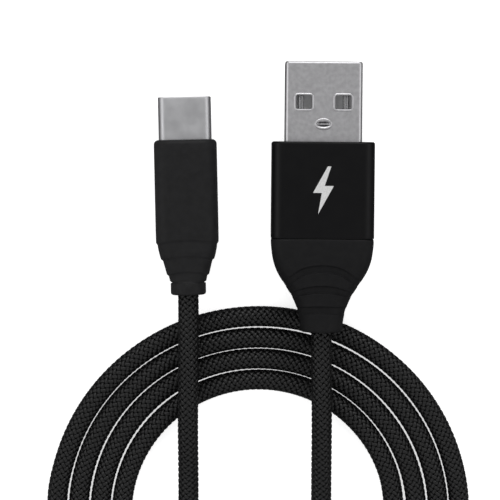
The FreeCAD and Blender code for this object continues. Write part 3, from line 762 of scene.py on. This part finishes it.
flat_x, _ = relief_rim(relief_back, 0.0)
bowed_back = np.minimum(relief_back + arch * flat_x**2 * (RELIEF_L - relief_back) / RELIEF_L, RELIEF_L)
side_share = np.abs(flat_x) / smooth_station(relief_back, RELIEF_STATIONS, 1) * 2
fade = np.clip((side_share - GROOVE_FADE[0]) / (GROOVE_FADE[1] - GROOVE_FADE[0]), 0, 1)
groove = groove * (1 - (1 - GROOVE_FADE[2]) * fade)
relief_x, relief_z = relief_rim(bowed_back, groove + edge_round)
end_x, end_z = relief_rim(np.full((3, 1), RELIEF_L), np.array([[0.12], [0.3], [1.45]]))
relief_x = np.concatenate((relief_x, end_x))
relief_z = np.concatenate((relief_z, end_z))
end_back = np.broadcast_to(np.array([[RELIEF_L - 0.06], [RELIEF_L], [RELIEF_L]]), end_x.shape)
relief_y = -A_HOUSING_L - np.concatenate((bowed_back, end_back))
relief_points = np.stack((relief_x, relief_y, relief_z), axis=-1).reshape(-1, 3)
relief_faces = skin_faces(len(relief_x), RIM_COUNT, "capped")
relief = even_shading(face_outwards(mesh_piece("type_a_relief_boot", relief_points, relief_faces, plug_a)))
rubber, surface = new_material("moulded_rubber", (0.0068, 0.0068, 0.0074), 0.62, specular=0.16)
emboss(rubber, object_noise(rubber, 10.0, 3.0), surface, 0.14, 0.015)
spread(rubber, object_noise(rubber, 0.7, 4.0), surface.inputs["Roughness"], 0.52, 0.68)
tint(rubber, object_noise(rubber, 1.2, 5.0), surface, (0.006, 0.006, 0.0066), (0.0078, 0.0078, 0.0084))
relief.data.materials.append(rubber)
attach(relief, "cable")
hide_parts("type_a_relief")

# ---------------------------------------------------------------------------------------------------------
# Type C shell: one piece of steel, deep drawn to a tube with full round sides, and nickel plated to a satin
# finish. It is moulded into the handle, and its mouth has a rolled lip.
C_SHELL = (8.25, 2.4, 1.15)
C_SHELL_WALL = 0.2
C_SHELL_IN = 4.4
LIP_STEPS = 6
c_shell_rows = [(-C_SHELL_IN, *C_SHELL, C_SHELL_WALL), (-C_SHELL_IN, *C_SHELL, 0.0), (0.3, *C_SHELL, 0.0)]
c_shell_rows.append((C_REACH - 0.5, *C_SHELL, 0.0))
for step in range(LIP_STEPS + 1):
    angle = math.pi * step / LIP_STEPS
    lip = C_SHELL_WALL / 2
    c_shell_rows.append((C_REACH - lip + lip * math.sin(angle), *C_SHELL, lip - lip * math.cos(angle)))
c_shell_rows.append((C_REACH - 0.5, *C_SHELL, C_SHELL_WALL))
shell_c = even_shading(lofted("type_c_shell_steel", c_shell_rows, plug_c, "joined"))
satin_steel, surface = new_material("satin_steel", (0.58, 0.58, 0.6), 0.4, 1.0)
cloud = object_noise(satin_steel, 0.5, 4.0)
spread(satin_steel, cloud, surface.inputs["Roughness"], 0.34, 0.46)
tint(satin_steel, cloud, surface, (0.57, 0.57, 0.585), (0.61, 0.61, 0.625))
emboss(satin_steel, object_noise(satin_steel, 12.0, 2.0), surface, 0.08, 0.01)
shell_c.data.materials.append(satin_steel)
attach(shell_c, "cable")
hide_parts("type_c_shell")

# ---------------------------------------------------------------------------------------------------------
# Type C handle: soft-touch rubber moulded over the board in one piece with its strain relief, which steps
# down three times to a collar round the cord. The steps arch across the flat faces.
HANDLE_TAPER = np.array(
    [
        (0.0, 9.8, 5.8, 2.2),
        (15.0, 9.8, 5.8, 2.2),
        (16.0, 9.7, 5.8, 2.25),
        (17.2, 9.05, 5.8, 2.4),
        (18.4, 8.3, 5.75, 2.5),
        (19.6, 7.5, 5.7, 2.6),
        (20.8, 6.85, 5.65, 2.65),
        (22.4, 6.2, 5.6, 2.65),
    ]
)
HANDLE_STEPS = (15.7, 18.15, 20.6)
STEP_INSET = 0.11
STEP_EDGE = 0.15
STEP_ARCH = 0.62  # how much further back a step is at the side of the handle
HANDLE_FRONT_ROUND = 0.7
COLLAR_FRONT = 22.3
COLLAR_R = 2.75
handle_marks = list(np.arange(0.9, 15.5, 0.9)) + list(np.arange(15.2, COLLAR_FRONT - 0.1, 0.25))
for step_back in HANDLE_STEPS:
    handle_marks += [step_back + share * STEP_EDGE for share in (-2.0, -1.0, -0.35, 0.35, 1.0, 2.0)]
handle_back = np.array(sorted(handle_marks))[:, None]
step_inset = np.zeros_like(handle_back)
for step_back in HANDLE_STEPS:
    passed = np.clip((handle_back - step_back + STEP_EDGE) / (2 * STEP_EDGE), 0, 1)
    recovered = np.clip((handle_back - step_back - STEP_EDGE) / 1.6, 0, 1)
    step_inset += STEP_INSET * passed + STEP_INSET * passed * (1 - recovered) * 0.9
handle_arch = np.interp(handle_back, (14.4, 16.0, 20.8, 22.2), (0.0, STEP_ARCH, STEP_ARCH, 0.0))
handle_sizes = [smooth_station(handle_back, HANDLE_TAPER, column, 0.35) for column in (1, 2, 3)]
handle_x, handle_z = rim_points(*handle_sizes, step_inset)
handle_y = -handle_back - handle_arch * (2 * handle_x / handle_sizes[0]) ** 2



def rim_rows(sizes, rows):
    """The points of several rows of one size. Each row says how far back it lies and its inset."""
    back, inset = np.array(rows).T[:, :, None]
    x, z = rim_points(*sizes, inset)
    return np.stack((x, np.broadcast_to(-back, x.shape), z), axis=-1)


front_rows = [(0.0, 2.1), (0.0, 1.0)]
for step in range(7):
    angle = math.pi / 2 * step / 6
    front_rows.append([HANDLE_FRONT_ROUND * (1 - way) for way in (math.cos(angle), math.sin(angle))])
collar_rows = [(COLLAR_FRONT, 0.3), (COLLAR_FRONT + 0.04, 0.05), (COLLAR_FRONT + 0.16, 0.0)]
collar_end = ((0.35, 0.0), (0.12, 0.1), (0.0, 0.35), (0.0, 1.2))
collar_rows += [(C_COLLAR_BACK - before, inset) for before, inset in collar_end]
handle_front = rim_rows(HANDLE_TAPER[0, 1:], front_rows)
handle_middle = np.stack((handle_x, handle_y, handle_z), axis=-1)
collar = rim_rows((2 * COLLAR_R, 2 * COLLAR_R, COLLAR_R - 0.15), collar_rows)
handle_points = np.concatenate((handle_front, handle_middle, collar))
handle_faces = skin_faces(len(handle_points), RIM_COUNT, "capped")
handle = even_shading(
    face_outwards(mesh_piece("type_c_handle", handle_points.reshape(-1, 3), handle_faces, plug_c))
)
soft_touch, surface = new_material("soft_touch_rubber", (0.012, 0.012, 0.0127), 0.55, specular=0.16)
surface.inputs["Sheen Weight"].default_value = 0.01
emboss(soft_touch, object_noise(soft_touch, 12.0, 3.0), surface, 0.12, 0.012)
spread(soft_touch, object_noise(soft_touch, 0.6, 4.0), surface.inputs["Roughness"], 0.48, 0.6)
touch_tones = ((0.0106, 0.0106, 0.0112), (0.0138, 0.0138, 0.0146))
tint(soft_touch, object_noise(soft_touch, 0.9, 4.0), surface, *touch_tones)
handle.data.materials.append(soft_touch)
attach(handle, "cable")
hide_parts("type_c_overmould")

# ---------------------------------------------------------------------------------------------------------
# Type A contacts: four strips stamped from phosphor bronze and nickel flashed, each with two raised ribs
# and a nose that turns down at the tongue's tip. The power contacts are longer, so that they meet first.
CONTACT_X = (-3.5, -1.0, 1.0, 3.5)
CONTACT = (1.0, 0.22)  # width, thickness
CONTACT_TOP = 0.05
CONTACT_TAIL = 10.6
CONTACT_TIPS = (10.7, 9.7, 9.7, 10.7)
contact_finish, surface = new_material("nickel_flashed_contact", (0.72, 0.72, 0.73), 0.22, 1.0)
spread(contact_finish, object_noise(contact_finish, 2.5, 3.0), surface.inputs["Roughness"], 0.18, 0.3)
strips = bpy.data.node_groups.new("contact_strips", "GeometryNodeTree")
strips.interface.new_socket("Geometry", in_out="INPUT", socket_type="NodeSocketGeometry")
strips.interface.new_socket("Geometry", in_out="OUTPUT", socket_type="NodeSocketGeometry")
strip_sizes = {
    "Width": CONTACT[0],
    "Thickness": CONTACT[1],
    "Rib Place": 0.5,  # share of the half width
    "Rib Half Width": 0.5,
    "Rib Height": 0.22,
    "Nose Length": 0.8,
    "Nose Drop": 0.14,
}
strip_sockets = {}
for name in strip_sizes:
    strip_sockets[name] = strips.interface.new_socket(name, in_out="INPUT", socket_type="NodeSocketFloat")
finish_socket = strips.interface.new_socket("Finish", in_out="INPUT", socket_type="NodeSocketMaterial")
given = strips.nodes.new("NodeGroupInput").outputs


def strip_node(kind, *sources, **settings):
    """A node of the contact tree. Each source is linked or set to the node's inputs in turn."""
    node = strips.nodes.new(kind)
    for setting, value in settings.items():
        setattr(node, setting, value)
    for socket, source in zip(node.inputs, sources):
        if isinstance(source, bpy.types.NodeSocket):
            strips.links.new(source, socket)
        elif source is not None:
            socket.default_value = source
    return node.outputs[0]


def strip_math(operation, first, second=None):
    """A sum of the contact tree."""
    return strip_node("ShaderNodeMath", first, second, operation=operation)


# a unit-long strip with ribs: its height follows the distance from its middle line
strip_size = strip_node("ShaderNodeCombineXYZ", given["Width"], 1.0, given["Thickness"])
strip = strip_node("GeometryNodeMeshCube", strip_size, 25, 60, 2)
spot_parts = strips.nodes.new("ShaderNodeSeparateXYZ")
strips.links.new(strip_node("GeometryNodeInputPosition"), spot_parts.inputs[0])
from_middle = strip_math("ABSOLUTE", spot_parts.outputs["X"])
half_share = strip_math("DIVIDE", strip_math("MULTIPLY", from_middle, 2.0), given["Width"])
from_rib = strip_math("SUBTRACT", half_share, given["Rib Place"])
from_rib = strip_math("DIVIDE", from_rib, given["Rib Half Width"])
rib_fall = strip_math("SUBTRACT", 1.0, strip_math("MULTIPLY", from_rib, from_rib))
rib_rise = strip_math("MULTIPLY", strip_math("MAXIMUM", rib_fall, 0.0), given["Rib Height"])
ribbed_offset = strip_node("ShaderNodeCombineXYZ", 0.0, 0.5, rib_rise)
ribbed = strip_node("GeometryNodeSetPosition", strip, None, None, ribbed_offset)

# one for each point of the row, as long as the point says, and its nose turned down
reach = strip_node("GeometryNodeInputNamedAttribute", "reach")
strip_scale = strip_node("ShaderNodeCombineXYZ", 1.0, reach, 1.0)
on_points = (given["Geometry"], None, ribbed, None, None, None, strip_scale)
row = strip_node("GeometryNodeInstanceOnPoints", *on_points)
row = strip_node("GeometryNodeStoreNamedAttribute", row, None, "strip_tip", reach, domain="INSTANCE")
row = strip_node("GeometryNodeRealizeInstances", row)
tip = strip_math("SUBTRACT", strip_node("GeometryNodeInputNamedAttribute", "strip_tip"), CONTACT_TAIL)
nose_start = strip_math("SUBTRACT", tip, given["Nose Length"])
nose_share = strip_math("SUBTRACT", spot_parts.outputs["Y"], nose_start)
nose_share = strip_math("DIVIDE", nose_share, given["Nose Length"])
nose_bend = strip_math("POWER", strip_math("MAXIMUM", nose_share, 0.0), 2.0)
nose_fall = strip_math("MULTIPLY", strip_math("MULTIPLY", nose_bend, given["Nose Drop"]), -1.0)
nose_offset = strip_node("ShaderNodeCombineXYZ", 0.0, 0.0, nose_fall)
row = strip_node("GeometryNodeSetPosition", row, None, None, nose_offset)
row = strip_node("GeometryNodeSetMaterial", row, None, given["Finish"])
strips.links.new(row, strips.nodes.new("NodeGroupOutput").inputs[0])

row_mesh = bpy.data.meshes.new("type_a_contact_row")
row_mesh.from_pydata([(x, -CONTACT_TAIL, CONTACT_TOP - CONTACT[1] / 2) for x in CONTACT_X], [], [])
reaches = row_mesh.attributes.new("reach", "FLOAT", "POINT")
reaches.data.foreach_set("value", [tip_y + CONTACT_TAIL for tip_y in CONTACT_TIPS])
contact_row = placed("type_a_contact_row", row_mesh)
row_maker = contact_row.modifiers.new("contact_strips", "NODES")
row_maker.node_group = strips
for name, size in strip_sizes.items():
    row_maker[strip_sockets[name].identifier] = size
row_maker[finish_socket.identifier] = contact_finish
made = contact_row.evaluated_get(bpy.context.evaluated_depsgraph_get())
contact_row.data = bpy.data.meshes.new_from_object(made)
contact_row.modifiers.remove(row_maker)
contact_row.data.transform(plug_a)
contact_row.data.shade_smooth()
even_shading(contact_row)
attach(contact_row, "cable")
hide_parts(*("type_a_contact_" + signal for signal in ("vbus", "dminus", "dplus", "gnd")))

# ---------------------------------------------------------------------------------------------------------
# What shows in the mouths and windows, and what lies inside: the tongue and insulator, the type C contacts,
# the latch arms and ground springs, the board, the wires and the inner mouldings.
contact_plate, surface = new_material("gold_flashed_contact", (0.75, 0.6, 0.36), 0.25, 1.0)
spread(contact_plate, object_noise(contact_plate, 2.5, 3.0), surface.inputs["Roughness"], 0.18, 0.34)
spring_metal, surface = new_material("spring_steel", (0.55, 0.55, 0.56), 0.3, 1.0)
spread(spring_metal, object_noise(spring_metal, 2.0, 3.0), surface.inputs["Roughness"], 0.24, 0.4)


def moulded(name, color, roughness, grain=8.0):
    """A plain moulded plastic with a fine grain and slightly uneven colour."""
    material, surface = new_material(name, color, roughness)
    noise = object_noise(material, grain, 3.0)
    emboss(material, noise, surface, 0.1, 0.01)
    dark = tuple(0.88 * value for value in color)
    light = tuple(1.1 * value for value in color)
    tint(material, object_noise(material, 1.0, 3.0), surface, dark, light)
    return material


finishes = {
    "type_a_tongue": moulded("tongue_plastic", (0.72, 0.72, 0.73), 0.45),
    "type_a_rear_block": moulded("block_plastic", (0.02, 0.02, 0.02), 0.5),
    "type_a_inner_mould": moulded("moulding_plastic", (0.6, 0.6, 0.57), 0.55),
    "type_c_insulator": moulded("insulator_plastic", (0.015, 0.015, 0.015), 0.42),
    "type_c_board": moulded("solder_mask", (0.01, 0.12, 0.045), 0.35),
    "type_c_resistor": moulded("resistor_body", (0.02, 0.02, 0.02), 0.4),
}
finishes["type_c_inner_mould"] = finishes["type_a_inner_mould"]
copper, surface = new_material("crimp_copper", (0.72, 0.38, 0.22), 0.35, 1.0)
spread(copper, object_noise(copper, 2.0, 3.0), surface.inputs["Roughness"], 0.28, 0.45)
wire_colors = {
    "vbus": (0.5, 0.015, 0.015),
    "dminus": (0.75, 0.75, 0.72),
    "dplus": (0.02, 0.28, 0.07),
    "gnd": (0.015, 0.015, 0.015),
}
for signal, color in wire_colors.items():
    finishes["type_a_wire_" + signal] = moulded("wire_" + signal, color, 0.4)
    finishes["type_c_wire_" + signal] = finishes["type_a_wire_" + signal]
for plug in ("type_a", "type_c"):
    finishes[plug + "_crimp"] = copper
for row in ("upper", "lower"):
    finishes["type_c_contact_beams_" + row] = contact_plate
    finishes["type_c_contact_tails_" + row] = contact_plate
    finishes["type_c_ground_spring_" + row] = spring_metal
for latch in ("plate", "left", "right"):
    finishes["type_c_latch_" + latch] = spring_metal
for node, material in finishes.items():
    frame["nodes"][node].material_slots[0].material = material

# ---------------------------------------------------------------------------------------------------------
# The table it lies on, the light and the camera. The light is a wide soft dome that is darker straight
# above, so that polished faces stay grey and rounded edges catch a brighter band.
FLOOR_HALF = 1.5
floor_mesh = bpy.data.meshes.new("floor")
corners = [(side * FLOOR_HALF, up * FLOOR_HALF, 0) for side, up in ((-1, -1), (1, -1), (1, 1), (-1, 1))]
floor_mesh.from_pydata(corners, [], [(0, 1, 2, 3)])
floor = placed("floor", floor_mesh)
floor_paint, surface = new_material("floor_paint", (0.93, 0.93, 0.93), 0.9, specular=0.0)
surface.inputs["Emission Color"].default_value = (1, 1, 1, 1)
surface.inputs["Emission Strength"].default_value = 0.7
floor.visible_glossy = False  # the floor isn't mirrored in the metal
floor.data.materials.append(floor_paint)

dome = bpy.data.worlds.new("studio_dome")
dome.use_nodes = True
dome_tree = dome.node_tree
sky_spot = dome_tree.nodes.new("ShaderNodeTexCoord")
split = dome_tree.nodes.new("ShaderNodeSeparateXYZ")
sky = dome_tree.nodes.new("ShaderNodeValToRGB")
# height of the direction, from straight down to straight up, and brightness
sky_stops = (
    (-1.0, 0.1),
    (-0.12, 0.1),
    (0.03, 0.35),
    (0.25, 0.62),
    (0.6, 0.76),
    (0.84, 0.66),
    (0.93, 0.46),
    (1.0, 0.42),
)
sky.color_ramp.interpolation = "EASE"
while len(sky.color_ramp.elements) < len(sky_stops):
    sky.color_ramp.elements.new(0.5)
for element, (height, level) in zip(sky.color_ramp.elements, sky_stops):
    element.position = (height + 1) / 2
    element.color = (level, level, level, 1)
dome_tree.links.new(sky_spot.outputs["Generated"], split.inputs["Vector"])
lowest_first = dome_tree.nodes.new("ShaderNodeMapRange")
lowest_first.inputs["From Min"].default_value = -1.0
dome_tree.links.new(split.outputs["Z"], lowest_first.inputs["Value"])
dome_tree.links.new(lowest_first.outputs["Result"], sky.inputs["Fac"])
dome_tree.links.new(sky.outputs["Color"], dome_tree.nodes["Background"].inputs["Color"])
bpy.context.scene.world = dome
bpy.context.scene.view_settings.view_transform = "Standard"


def softbox(name, place, target, size, power):
    """A square lamp that points at a target."""
    lamp = bpy.data.lights.new(name, "AREA")
    lamp.size = size
    lamp.energy = power
    holder = placed(name, lamp)
    holder.location = place
    holder.rotation_euler = (Vector(target) - Vector(place)).to_track_quat("-Z", "Y").to_euler()


softbox("softbox_left", (-0.55, 0.1, 0.4), (0, -0.02, 0), 0.3, 0.26)
softbox("softbox_right", (0.55, 0.15, 0.4), (0, -0.02, 0), 0.3, 0.22)
softbox("softbox_back", (0.0, 0.55, 0.3), (0, 0, 0), 0.5, 1.5)

VIEW_TARGET = Vector((-0.00218, -0.0089, 0.0))
VIEW_DISTANCE = 0.4
VIEW_TILT = math.radians(7.5)
VIEW_LENS = 182.3
camera_data = bpy.data.cameras.new("view")
camera_data.lens = VIEW_LENS
camera_data.clip_start = 0.01
camera = placed("view", camera_data)
lift = Vector((0, math.sin(VIEW_TILT), math.cos(VIEW_TILT)))
right = Vector((1, 0, 0))
turn = Matrix((right, lift.cross(right), lift)).transposed().to_4x4()
camera.matrix_world = Matrix.Translation(VIEW_TARGET + lift * VIEW_DISTANCE) @ turn
bpy.context.scene.camera = camera
